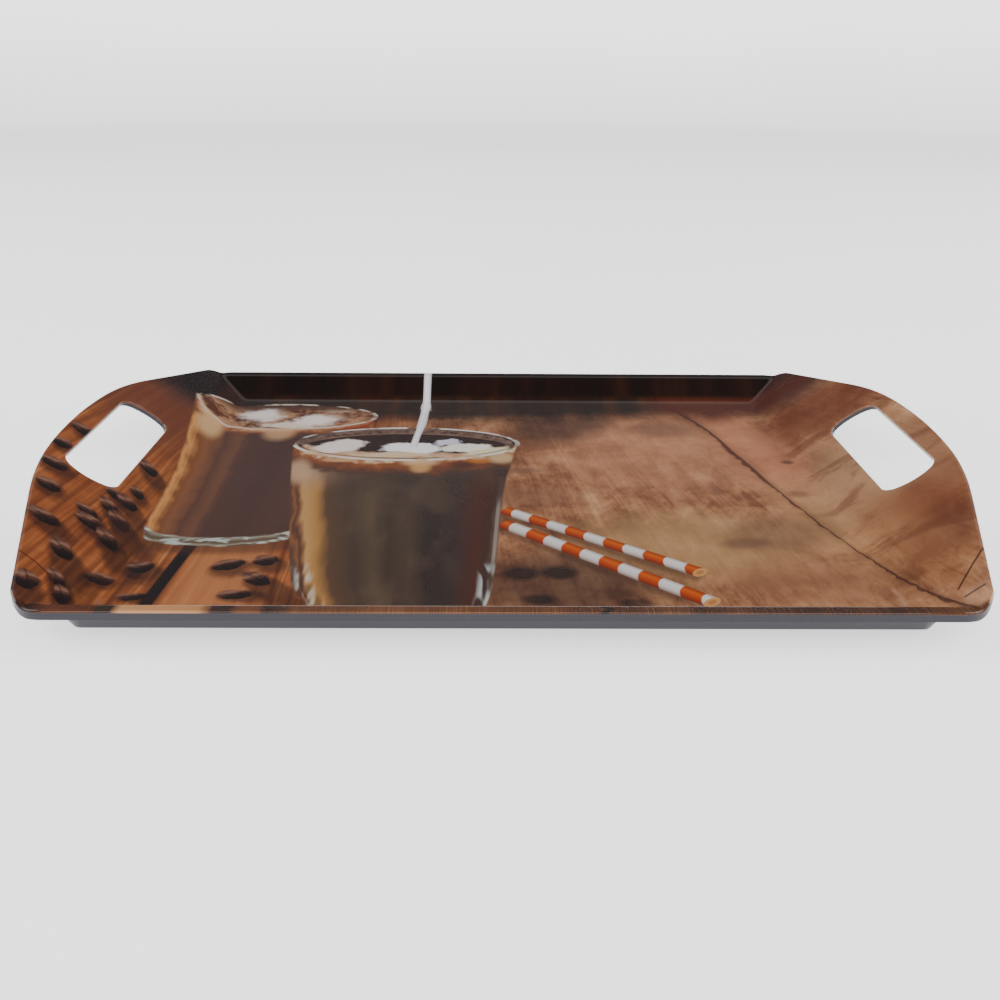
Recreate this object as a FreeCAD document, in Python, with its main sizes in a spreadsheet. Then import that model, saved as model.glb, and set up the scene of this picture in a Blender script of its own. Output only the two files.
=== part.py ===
"""Serving tray: a moulded melamine body with a printed foil and a clear glaze fused over its top face.

Frame: origin at the centre of the footprint on the table, +X along the tray towards a handle,
+Y across it, +Z up. Millimetres and degrees.

The top face has the shape of a hollow pressed into a block. `hollow_core` is that hollow made
smaller all round by `blend_radius`; growing it back with round joins gives every inside corner
its radius, and growing it a little more or less gives the parallel surfaces of each layer.
"""
import FreeCAD, Part
import math
import os

import Sketcher
from FreeCAD import Placement, Rotation, Vector

DIMENSIONS = {
    # overall
    "tray_length": 500.0,       # handle tip to handle tip
    "tray_width": 370.0,        # across the two long rims
    # top face, as sharp planes
    "floor_height": 5.0,        # table to the picture face of the floor
    "floor_length": 379.0,      # where the end flanges would meet the floor
    "floor_width": 319.6,       # where the long walls would meet the floor
    "flange_angle": 35.3,       # end flange above the horizontal
    "wall_angle": 37.9,         # long wall above the horizontal
    "rim_height": 19.9,         # long rim at the tray's edge
    "rim_angle": 7.2,           # long rim rising outwards
    # roundings
    "blend_radius": 8.0,        # inside corners between walls, flanges, rims and floor
    "end_radius": 12.0,         # floor into end flange
    "crest_radius": 5.0,        # long wall over into the rim; more than lip_depth
    "edge_radius": 1.2,         # top edge all round the outline
    "hole_edge_radius": 1.1,    # top edge of the hand holes
    # plan outline
    "lobe_radius": 594.0,       # middle of each end
    "lobe_half_width": 44.6,    # where the middle arc passes into the tighter shoulders
    "shoulder_radius": 282.0,
    "flare_angle": 15.0,        # straight stretch between shoulder and corner, off the Y axis
    "corner_radius": 18.0,
    # hand holes, measured in the plane of the flange
    "hole_setback": 28.8,       # floor corner line to the near side of the hole
    "hole_width": 31.5,
    "hole_length": 111.0,
    "hole_end_radius": 28.0,
    "hole_corner_radius": 9.0,
    # layers, from the top down
    "glaze_thickness": 0.2,
    "foil_thickness": 0.25,
    "wrap_depth": 1.2,          # how far foil and glaze turn down over an edge
    "wall_thickness": 3.4,      # body, foil and glaze together
    # edge lip
    "lip_depth": 4.7,
    "lip_width": 3.4,
    # foot ring: the outside leans outwards, the inside is upright
    "foot_length": 399.4,
    "foot_width": 331.0,
    "foot_corner_radius": 6.0,
    "foot_ring_width": 5.0,
    "foot_ring_height": 16.0,   # reaches up into the wall all round
    "foot_taper": 30.0,         # outside face off the vertical
    # room for the tools that do the cutting
    "open_height": 120.0,
    "cutter_margin": 75.0,
}

XZ_PLANE = Rotation(Vector(1, 0, 0), 90)
YZ_PLANE = Rotation(Vector(0, 1, 0), Vector(0, 0, 1), Vector(1, 0, 0), "ZXY")
X_AXIS, Y_AXIS, ORIGIN = -1, -2, (-1, 1)
START, END, CENTRE = 1, 2, 3

doc = FreeCAD.newDocument("serving_tray")


# ---------------------------------------------------------------- driving dimensions
def make_sheet():
    sheet = doc.addObject("Spreadsheet::Sheet", "Dimensions")
    for row, (alias, value) in enumerate(DIMENSIONS.items(), start=1):
        cell = f"A{row}"
        sheet.set(cell, str(value))
        sheet.setAlias(cell, alias)
    doc.recompute()
    return sheet


sheet = make_sheet()


def dim(alias):
    return float(sheet.get(alias))


def linked(text):
    """Expression text with every dimension's name pointed at the sheet."""
    words = []
    for word in text.split():
        words.append(f"Dimensions.{word}" if word in DIMENSIONS else word)
    return " ".join(words)


def bind(obj, **expressions):
    for prop, text in expressions.items():
        obj.setExpression(prop.replace("__", "."), linked(text))


# ---------------------------------------------------------------- sketch helpers
def new_sketch(name, placement=Placement()):
    sketch = doc.addObject("Sketcher::SketchObject", name)
    sketch.Placement = placement
    return sketch


def drive(sketch, name, expression, kind, *where):
    """Add a named dimension to the sketch and bind it to the sheet."""
    index = sketch.addConstraint(Sketcher.Constraint(kind, *where))
    sketch.renameConstraint(index, name)
    sketch.setExpression(f"Constraints.{name}", linked(expression))


def closed_loop(sketch, pieces):
    """Join (geometry, smooth join to the next piece) pieces, given anticlockwise, end to start.

    An arc that bulges into the loop is given as (geometry, smooth, "inward") and runs backwards.
    """
    ids, first, last, smooth = [], [], [], []
    for piece in pieces:
        ids.append(sketch.addGeometry(piece[0], False))
        inward = len(piece) > 2
        first.append(END if inward else START)
        last.append(START if inward else END)
        smooth.append(piece[1])
    for here in range(len(ids)):
        after = (here + 1) % len(ids)
        kind = "Tangent" if smooth[here] else "Coincident"
        sketch.addConstraint(Sketcher.Constraint(kind, ids[here], last[here], ids[after], first[after]))
    return ids


def line(start, end):
    return Part.LineSegment(Vector(*start, 0), Vector(*end, 0))


def arc(centre, radius, from_angle, to_angle):
    circle = Part.Circle(Vector(*centre, 0), Vector(0, 0, 1), radius)
    return Part.ArcOfCircle(circle, math.radians(from_angle), math.radians(to_angle))


def polar(centre, radius, angle):
    return (centre[0] + radius * math.cos(math.radians(angle)),
            centre[1] + radius * math.sin(math.radians(angle)))


# ---------------------------------------------------------------- sketches
def side_profile():
    """The hollow seen from the side: floor, and an end flange rising each way."""
    half, floor, top = dim("floor_length") / 2, dim("floor_height"), dim("open_height")
    angle, radius = dim("flange_angle"), dim("end_radius")
    setback = radius * math.tan(math.radians(angle / 2))
    foot = (half - setback, floor)
    centre = (foot[0], floor + radius)
    rise = polar(centre, radius, angle - 90)
    tip = half + (top - floor) / math.tan(math.radians(angle))
    sketch = new_sketch("side_profile", Placement(Vector(), XZ_PLANE))
    bottom, right_arc, right, lid, left, left_arc = closed_loop(sketch, [
        (line((-foot[0], floor), foot), True),
        (arc(centre, radius, -90, angle - 90), True),
        (line(rise, (tip, top)), False),
        (line((tip, top), (-tip, top)), False),
        (line((-tip, top), (-rise[0], rise[1])), True),
        (arc((-centre[0], centre[1]), radius, -90 - angle, -90), True),
    ])
    sketch.addConstraint(Sketcher.Constraint("Horizontal", lid))
    sketch.addConstraint(Sketcher.Constraint("Symmetric", bottom, START, bottom, END, Y_AXIS))
    drive(sketch, "floor", "floor_height", "DistanceY", *ORIGIN, bottom, END, floor)
    drive(sketch, "lid", "open_height", "DistanceY", *ORIGIN, lid, START, top)
    drive(sketch, "reach", "floor_length / 2 - end_radius * tan( flange_angle / 2 * 1 deg )",
          "DistanceX", *ORIGIN, bottom, END, foot[0])
    drive(sketch, "right_slope", "flange_angle * 1 deg", "Angle", right, math.radians(angle))
    drive(sketch, "left_slope", "-1 * flange_angle * 1 deg", "Angle", left, math.radians(-angle))
    drive(sketch, "right_blend", "end_radius", "Radius", right_arc, radius)
    drive(sketch, "left_blend", "end_radius", "Radius", left_arc, radius)
    return sketch


def end_profile():
    """The hollow seen from a handle: floor, the two long walls, and the rims outside them."""
    floor, top, radius = dim("floor_height"), dim("open_height"), dim("crest_radius")
    half, outer = dim("floor_width") / 2, dim("tray_width") / 2 + dim("cutter_margin")
    wall, rim = dim("wall_angle"), dim("rim_angle")
    wall_slope, rim_slope = math.tan(math.radians(wall)), math.tan(math.radians(rim))
    outer_height = dim("rim_height") + dim("cutter_margin") * rim_slope
    crest = (outer_height - floor + half * wall_slope - outer * rim_slope) / (wall_slope - rim_slope)
    crest_height = floor + (crest - half) * wall_slope
    setback = radius * math.tan(math.radians((wall - rim) / 2))
    below = polar((crest, crest_height), setback, 180 + wall)
    above = polar((crest, crest_height), setback, rim)
    centre = polar(below, radius, wall - 90)
    sketch = new_sketch("end_profile", Placement(Vector(), YZ_PLANE))
    ids = closed_loop(sketch, [
        (line((-half, floor), (half, floor)), False),
        (line((half, floor), below), True),
        (arc(centre, radius, rim + 90, wall + 90), True, "inward"),
        (line(above, (outer, outer_height)), False),
        (line((outer, outer_height), (outer, top)), False),
        (line((outer, top), (-outer, top)), False),
        (line((-outer, top), (-outer, outer_height)), False),
        (line((-outer, outer_height), (-above[0], above[1])), True),
        (arc((-centre[0], centre[1]), radius, 90 - wall, 90 - rim), True, "inward"),
        (line((-below[0], below[1]), (-half, floor)), False),
    ])
    bottom, right_wall, right_arc, right_rim, right_side = ids[:5]
    lid, left_side, left_rim, left_arc, left_wall = ids[5:]
    for level in (bottom, lid):
        sketch.addConstraint(Sketcher.Constraint("Symmetric", level, START, level, END, Y_AXIS))
    for upright in (right_side, left_side):
        sketch.addConstraint(Sketcher.Constraint("Vertical", upright))
    drive(sketch, "floor", "floor_height", "DistanceY", *ORIGIN, bottom, END, floor)
    drive(sketch, "lid", "open_height", "DistanceY", *ORIGIN, lid, START, top)
    drive(sketch, "floor_span", "floor_width", "DistanceX", bottom, START, bottom, END, 2 * half)
    drive(sketch, "outer", "tray_width / 2 + cutter_margin", "DistanceX", *ORIGIN, right_side, END, outer)
    for name, rim_line, point in (("right", right_rim, END), ("left", left_rim, START)):
        drive(sketch, f"{name}_rim_end", "rim_height + cutter_margin * tan( rim_angle * 1 deg )",
              "DistanceY", *ORIGIN, rim_line, point, outer_height)
    drive(sketch, "right_wall", "wall_angle * 1 deg", "Angle", right_wall, math.radians(wall))
    drive(sketch, "left_wall", "-1 * wall_angle * 1 deg", "Angle", left_wall, math.radians(-wall))
    drive(sketch, "right_rim", "rim_angle * 1 deg", "Angle", right_rim, math.radians(rim))
    drive(sketch, "left_rim", "-1 * rim_angle * 1 deg", "Angle", left_rim, math.radians(-rim))
    drive(sketch, "right_crest", "crest_radius", "Radius", right_arc, radius)
    drive(sketch, "left_crest", "crest_radius", "Radius", left_arc, radius)
    return sketch


def plan_outline():
    """The tray from above: at each end a shallow arc, two shoulders, flared stretches, round corners."""
    half_length, half_width = dim("tray_length") / 2, dim("tray_width") / 2
    lobe, shoulder, corner = dim("lobe_radius"), dim("shoulder_radius"), dim("corner_radius")
    flare = dim("flare_angle")
    turn = math.degrees(math.asin(dim("lobe_half_width") / lobe))
    lobe_x = half_length - lobe
    shoulder_centre = polar((lobe_x, 0), lobe - shoulder, turn)
    shoulder_end = polar(shoulder_centre, shoulder, flare)
    cos, sin = math.cos(math.radians(flare)), math.sin(math.radians(flare))
    corner_y = half_width - corner
    corner_x = (shoulder_end[0] * cos + shoulder_end[1] * sin - corner - corner_y * sin) / cos
    corner_start = polar((corner_x, corner_y), corner, flare)

    def quadrant(across, along):
        """Centres and end points, mirrored into one quadrant of the plan."""
        points = (shoulder_centre, shoulder_end, corner_start, (corner_x, corner_y))
        return [(across * x, along * y) for x, y in points]

    sketch = new_sketch("plan_outline")
    right_far, left_far = quadrant(1, 1), quadrant(-1, 1)
    left_near, right_near = quadrant(-1, -1), quadrant(1, -1)
    ids = closed_loop(sketch, [
        (arc((lobe_x, 0), lobe, -turn, turn), True),
        (arc(right_far[0], shoulder, turn, flare), True),
        (line(right_far[1], right_far[2]), True),
        (arc(right_far[3], corner, flare, 90), True),
        (line((corner_x, half_width), (-corner_x, half_width)), True),
        (arc(left_far[3], corner, 90, 180 - flare), True),
        (line(left_far[2], left_far[1]), True),
        (arc(left_far[0], shoulder, 180 - flare, 180 - turn), True),
        (arc((-lobe_x, 0), lobe, 180 - turn, 180 + turn), True),
        (arc(left_near[0], shoulder, 180 + turn, 180 + flare), True),
        (line(left_near[1], left_near[2]), True),
        (arc(left_near[3], corner, 180 + flare, 270), True),
        (line((-corner_x, -half_width), (corner_x, -half_width)), True),
        (arc(right_near[3], corner, 270, 360 - flare), True),
        (line(right_near[2], right_near[1]), True),
        (arc(right_near[0], shoulder, 360 - flare, 360 - turn), True),
    ])
    lobes, far_side, near_side = {"right": ids[0], "left": ids[8]}, ids[4], ids[12]
    for side in (far_side, near_side):
        sketch.addConstraint(Sketcher.Constraint("Horizontal", side))
    drive(sketch, "far", "tray_width / 2", "DistanceY", *ORIGIN, far_side, START, half_width)
    drive(sketch, "near", "tray_width / 2", "DistanceY", near_side, START, *ORIGIN, half_width)
    for name, lobe_arc in lobes.items():
        sketch.addConstraint(Sketcher.Constraint("PointOnObject", lobe_arc, CENTRE, X_AXIS))
        drive(sketch, f"{name}_lobe", "lobe_radius", "Radius", lobe_arc, lobe)
        ends = (lobe_arc, CENTRE, *ORIGIN) if name == "right" else (*ORIGIN, lobe_arc, CENTRE)
        drive(sketch, f"{name}_reach", "lobe_radius - tray_length / 2", "DistanceX", *ends, -lobe_x)
        for end, point in (("first", START), ("last", END)):
            above = (end == "last") == (name == "right")
            where = (*ORIGIN, lobe_arc, point) if above else (lobe_arc, point, *ORIGIN)
            drive(sketch, f"{name}_lobe_{end}", "lobe_half_width", "DistanceY", *where,
                  dim("lobe_half_width"))
    flares = {"far_right": (ids[2], "90 + flare_angle", 90 + flare),
              "far_left": (ids[6], "-90 - flare_angle", -90 - flare),
              "near_left": (ids[10], "-90 + flare_angle", flare - 90),
              "near_right": (ids[14], "90 - flare_angle", 90 - flare)}
    for name, (flare_line, expression, angle) in flares.items():
        drive(sketch, f"{name}_flare", f"( {expression} ) * 1 deg", "Angle",
              flare_line, math.radians(angle))
    for number, corner_arc in enumerate((ids[3], ids[5], ids[11], ids[13]), start=1):
        drive(sketch, f"corner_{number}", "corner_radius", "Radius", corner_arc, corner)
    for number, shoulder_arc in enumerate((ids[1], ids[7], ids[9], ids[15]), start=1):
        drive(sketch, f"shoulder_{number}", "shoulder_radius", "Radius", shoulder_arc, shoulder)
    return sketch


def foot_outline():
    """The outside of the foot ring: a rounded rectangle."""
    half_length, half_width = dim("foot_length") / 2, dim("foot_width") / 2
    radius = dim("foot_corner_radius")
    x, y = half_length - radius, half_width - radius
    sketch = new_sketch("foot_outline")
    ids = closed_loop(sketch, [
        (line((half_length, -y), (half_length, y)), True),
        (arc((x, y), radius, 0, 90), True),
        (line((x, half_width), (-x, half_width)), True),
        (arc((-x, y), radius, 90, 180), True),
        (line((-half_length, y), (-half_length, -y)), True),
        (arc((-x, -y), radius, 180, 270), True),
        (line((-x, -half_width), (x, -half_width)), True),
        (arc((x, -y), radius, 270, 360), True),
    ])
    right, far, left, near = ids[0], ids[2], ids[4], ids[6]
    for side in (right, left):
        sketch.addConstraint(Sketcher.Constraint("Vertical", side))
    for side in (far, near):
        sketch.addConstraint(Sketcher.Constraint("Horizontal", side))
    drive(sketch, "right", "foot_length / 2", "DistanceX", *ORIGIN, right, START, half_length)
    drive(sketch, "left", "foot_length / 2", "DistanceX", left, START, *ORIGIN, half_length)
    drive(sketch, "far", "foot_width / 2", "DistanceY", *ORIGIN, far, START, half_width)
    drive(sketch, "near", "foot_width / 2", "DistanceY", near, START, *ORIGIN, half_width)
    for number, corner_arc in enumerate(ids[1::2], start=1):
        drive(sketch, f"corner_{number}", "foot_corner_radius", "Radius", corner_arc, radius)
    return sketch


def hole_outline():
    """A hand hole in the plane of its flange: straight long sides, bowed ends, rounded corners.

    The sketch's X axis runs up the flange from the floor corner line, its Y axis across the tray.
    """
    width, length = dim("hole_width"), dim("hole_length")
    bow, corner = dim("hole_end_radius"), dim("hole_corner_radius")
    middle = dim("hole_setback") + width / 2
    bow_y = length / 2 - bow
    corner_x = width / 2 - corner
    corner_y = bow_y + math.sqrt((bow - corner) ** 2 - corner_x ** 2)
    turn = math.degrees(math.atan2(corner_y - bow_y, corner_x))
    far_bow, near_bow = (middle, bow_y), (middle, -bow_y)
    sketch = new_sketch("hole_outline")
    ids = closed_loop(sketch, [
        (line((middle + width / 2, -corner_y), (middle + width / 2, corner_y)), True),
        (arc((middle + corner_x, corner_y), corner, 0, turn), True),
        (arc(far_bow, bow, turn, 180 - turn), True),
        (arc((middle - corner_x, corner_y), corner, 180 - turn, 180), True),
        (line((middle - width / 2, corner_y), (middle - width / 2, -corner_y)), True),
        (arc((middle - corner_x, -corner_y), corner, 180, 180 + turn), True),
        (arc(near_bow, bow, 180 + turn, 360 - turn), True),
        (arc((middle + corner_x, -corner_y), corner, 360 - turn, 360), True),
    ])
    outer, inner, far, near = ids[0], ids[4], ids[2], ids[6]
    for side in (outer, inner):
        sketch.addConstraint(Sketcher.Constraint("Vertical", side))
    drive(sketch, "inner_side", "hole_setback", "DistanceX", *ORIGIN, inner, START, dim("hole_setback"))
    drive(sketch, "outer_side", "hole_setback + hole_width", "DistanceX", *ORIGIN, outer, START,
          dim("hole_setback") + width)
    bows = {"far": (far, (*ORIGIN, far, CENTRE)), "near": (near, (near, CENTRE, *ORIGIN))}
    for name, (bow_arc, ends) in bows.items():
        drive(sketch, f"{name}_bow", "hole_end_radius", "Radius", bow_arc, bow)
        drive(sketch, f"{name}_bow_y", "hole_length / 2 - hole_end_radius", "DistanceY", *ends, bow_y)
        drive(sketch, f"{name}_bow_x", "hole_setback + hole_width / 2", "DistanceX",
              *ORIGIN, bow_arc, CENTRE, middle)
    for number, corner_arc in enumerate((ids[1], ids[3], ids[5], ids[7]), start=1):
        drive(sketch, f"corner_{number}", "hole_corner_radius", "Radius", corner_arc, corner)
    return sketch


# ---------------------------------------------------------------- solids from sketches
ROUND_JOIN, SHARP_JOIN = "Arc", "Intersection"


def grown_outline(name, source, by, join):
    """A sketch's outline moved outwards by an expression, inwards where that is negative."""
    outline = doc.addObject("Part::Offset2D", name)
    outline.Source = source
    outline.Join = join
    outline.Value = 1.0
    bind(outline, Value=by)
    return outline


def extruded(name, base, forward, backward):
    prism = doc.addObject("Part::Extrusion", name)
    prism.Base = base
    prism.DirMode = "Normal"
    prism.Solid = True
    bind(prism, LengthFwd=forward, LengthRev=backward)
    return prism


def boolean(kind, name, base, tool):
    result = doc.addObject(f"Part::{kind}", name)
    result.Base = base
    result.Tool = tool
    return result


def fused(name, shapes):
    result = doc.addObject("Part::MultiFuse", name)
    result.Shapes = shapes
    return result


def make_hollow_core():
    """The hollow, open upwards, shrunk all round by the blend radius so that its corners are sharp."""
    side = grown_outline("side_core", side_profile(), "-1 * blend_radius", SHARP_JOIN)
    end = grown_outline("end_core", end_profile(), "-1 * blend_radius", SHARP_JOIN)
    along = extruded("side_core_prism", side, "tray_width", "tray_width")
    across = extruded("end_core_prism", end, "tray_length", "tray_length")
    return boolean("Common", "hollow_core", along, across)


def make_hollow(name, core, depth):
    """Everything above the surface that lies `depth` under the tray's finished top face."""
    hollow = doc.addObject("Part::Offset", name)
    hollow.Source = core
    hollow.Join = ROUND_JOIN
    hollow.Value = 1.0
    bind(hollow, Value=f"blend_radius + {depth}")
    return hollow


def make_hand_holes(name, outline):
    """The two cutters, square to their flanges."""
    right = extruded(f"{name}_right", outline, "cutter_margin / 2", "cutter_margin / 2")
    right.Placement = Placement(Vector(0, 0, 0), Rotation(Vector(0, -1, 0), dim("flange_angle")))
    bind(right, Placement__Base__x="floor_length / 2", Placement__Base__z="floor_height",
         Placement__Rotation__Angle="flange_angle * 1 deg")
    left = doc.addObject("Part::Mirroring", f"{name}_left")
    left.Source = right
    left.Normal = Vector(1, 0, 0)
    return [right, left]


def rim_edges(shape, hollow, cutters):
    """Names of the edges where the top face meets the outside or the wall of a cutter."""
    names = []
    skins = [Part.Shell(cutter.Faces) for cutter in cutters]
    top = Part.Shell(hollow.Faces)
    for number, edge in enumerate(shape.Edges, start=1):
        middle = edge.valueAt((edge.FirstParameter + edge.LastParameter) / 2)
        point = Part.Vertex(middle)
        if top.distToShape(point)[0] > 1e-4:
            continue
        if any(skin.distToShape(point)[0] < 1e-4 for skin in skins):
            names.append(f"Edge{number}")
    return names


def rounded_block(name, core, inset):
    """A solid block under the surface that lies `inset` inside the finished tray on every side.

    It has the tray's outline, its top face with both hand holes, and rounded top edges, but runs on
    below the table: the underside is cut later.
    """
    outline, hole = plan, hand_hole
    if inset != "0":
        outline = grown_outline(f"{name}_outline", plan, f"-1 * ( {inset} )", ROUND_JOIN)
        hole = grown_outline(f"{name}_hole", hand_hole, inset, ROUND_JOIN)
    prism = extruded(f"{name}_prism", outline, "open_height / 2", "cutter_margin")
    hollow = make_hollow(f"{name}_hollow", core, inset)
    holes = make_hand_holes(f"{name}_holes", hole)
    block = boolean("Cut", f"{name}_dished", prism, hollow)
    for number, cutter in enumerate(holes, start=1):
        block = boolean("Cut", f"{name}_cut_{number}", block, cutter)
    body = doc.addObject("PartDesign::Body", name)
    body.BaseFeature = block
    doc.recompute()
    previous = body.Tip
    roundings = (("edge_radius", [prism]), ("hole_edge_radius", holes))
    for radius, cutters in roundings:
        fillet = body.newObject("PartDesign::Fillet", f"{name}_{radius}")
        fillet.Base = (previous, rim_edges(previous.Shape, hollow.Shape, [c.Shape for c in cutters]))
        bind(fillet, Radius=f"{radius} - ( {inset} )")
        body.Tip = fillet
        doc.recompute()
        previous = fillet
    return body


# ---------------------------------------------------------------- the tray
def make_underside(core):
    """All that may be tray: the wall's thickness under the top face, the edge lip, and the foot ring."""
    wall = make_hollow("wall_zone", core, "wall_thickness")
    lip_inner = grown_outline("lip_inner", plan, "-1 * lip_width", ROUND_JOIN)
    lip_inner_prism = extruded("lip_inner_prism", lip_inner, "open_height", "cutter_margin")
    lip_depth = make_hollow("lip_zone", core, "lip_depth")
    lip = boolean("Cut", "edge_lip", lip_depth, lip_inner_prism)
    foot = foot_outline()
    foot_inner = grown_outline("foot_inner", foot, "-1 * foot_ring_width", ROUND_JOIN)
    foot_prism = extruded("foot_prism", foot, "foot_ring_height", "0")
    bind(foot_prism, TaperAngle="foot_taper")
    foot_inner_prism = extruded("foot_inner_prism", foot_inner, "foot_ring_height", "0")
    ring = boolean("Cut", "foot_ring", foot_prism, foot_inner_prism)
    return fused("underside", [wall, lip, ring])


def make_tray():
    core = make_hollow_core()
    glaze_block = rounded_block("glaze_block", core, "0")
    foil_block = rounded_block("foil_block", core, "glaze_thickness")
    body_block = rounded_block("body_block", core, "glaze_thickness + foil_thickness")
    wrap_zone = make_hollow("wrap_zone", core, "wrap_depth")

    glaze_layer = boolean("Cut", "glaze_layer", glaze_block, foil_block)
    glaze = boolean("Common", "glaze_coat", glaze_layer, wrap_zone)
    foil_layer = boolean("Cut", "foil_layer", foil_block, body_block)
    foil = boolean("Common", "print_foil", foil_layer, wrap_zone)
    skin_layer = boolean("Cut", "skin_layer", glaze_block, body_block)
    skin = boolean("Common", "skin", skin_layer, wrap_zone)
    bare = boolean("Cut", "bare_block", glaze_block, skin)
    body = boolean("Common", "tray_body", bare, make_underside(core))
    return [body, foil, glaze]


plan = plan_outline()
hand_hole = hole_outline()
pieces = make_tray()
for piece in pieces:
    piece.Label = piece.Name
doc.recompute()


# ---------------------------------------------------------------- checks and export
def check_document():
    for obj in doc.Objects:
        bad = [state for state in obj.State if state in ("Invalid", "Error")]
        if bad:
            raise RuntimeError(f"{obj.Name} is {', '.join(bad)}")


def check_piece(piece):
    shape = piece.Shape
    if shape.isNull() or not shape.isValid() or len(shape.Solids) != 1:
        raise RuntimeError(f"{piece.Label}: null, invalid, or {len(shape.Solids)} solids")
    box = shape.BoundBox
    print(f"{piece.Label}: {shape.Volume / 1000:.2f} cm3, {len(shape.Faces)} faces, "
          f"{box.XLength:.1f} x {box.YLength:.1f} x {box.ZLength:.1f} mm")


check_document()
for piece in pieces:
    check_piece(piece)

os.makedirs("parts", exist_ok=True)
for piece in pieces:
    piece.Shape.exportStep(f"parts/{piece.Label}.step")
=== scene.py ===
"""Looks of the serving tray: camera, light, floor, the grey body's material and the printed picture.

The picture is drawn by shader nodes in the print's own coordinates: millimetres on the sheet, u along
the tray and v across it, measured up the slopes as the sheet lies on them.
"""
import math

import bpy
from mathutils import Matrix, Vector

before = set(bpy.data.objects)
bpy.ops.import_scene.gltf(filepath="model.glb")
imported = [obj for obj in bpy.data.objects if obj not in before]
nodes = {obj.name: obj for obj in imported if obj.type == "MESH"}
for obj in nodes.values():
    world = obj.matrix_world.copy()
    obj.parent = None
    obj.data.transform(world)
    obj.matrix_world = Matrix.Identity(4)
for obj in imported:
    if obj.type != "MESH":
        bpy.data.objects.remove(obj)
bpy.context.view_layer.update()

# The tray's own measures that the picture follows, in millimetres and degrees
FLOOR_HALF_LENGTH, FLOOR_HALF_WIDTH = 189.5, 159.8
CREST_HALF_WIDTH = 178.0  # where the long walls turn into their rims
FLANGE_ANGLE, WALL_ANGLE = 35.3, 37.9

MM_PER_METRE = 1000.0


# ---------------------------------------------------------------- node arithmetic
def linear(colour):
    """An sRGB colour of three whole numbers as linear light with alpha."""
    def one(c):
        c /= 255
        return c / 12.92 if c <= 0.04045 else ((c + 0.055) / 1.055) ** 2.4
    return (*[one(c) for c in colour], 1.0)


def place(centre, size, turn=0.0):
    """Numbers that carry (u, v) into an ellipse's or bar's own frame, where its half sizes are 1."""
    c, s = math.cos(math.radians(turn)), math.sin(math.radians(turn))
    return {"cu": centre[0], "cv": centre[1], "au": c / size[0], "av": s / size[0],
            "bu": -s / size[1], "bv": c / size[1]}


class Field:
    """A number, vector or colour that varies over a surface: the output of a node."""

    def __init__(self, art, socket):
        self.art, self.socket = art, socket

    def __add__(self, other):
        return self.art.math("ADD", self, other)

    def __sub__(self, other):
        return self.art.math("SUBTRACT", self, other)

    def __rsub__(self, other):
        return self.art.math("SUBTRACT", other, self)

    def __mul__(self, other):
        return self.art.math("MULTIPLY", self, other)

    def __truediv__(self, other):
        return self.art.math("DIVIDE", self, other)

    __radd__, __rmul__ = __add__, __mul__


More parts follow.
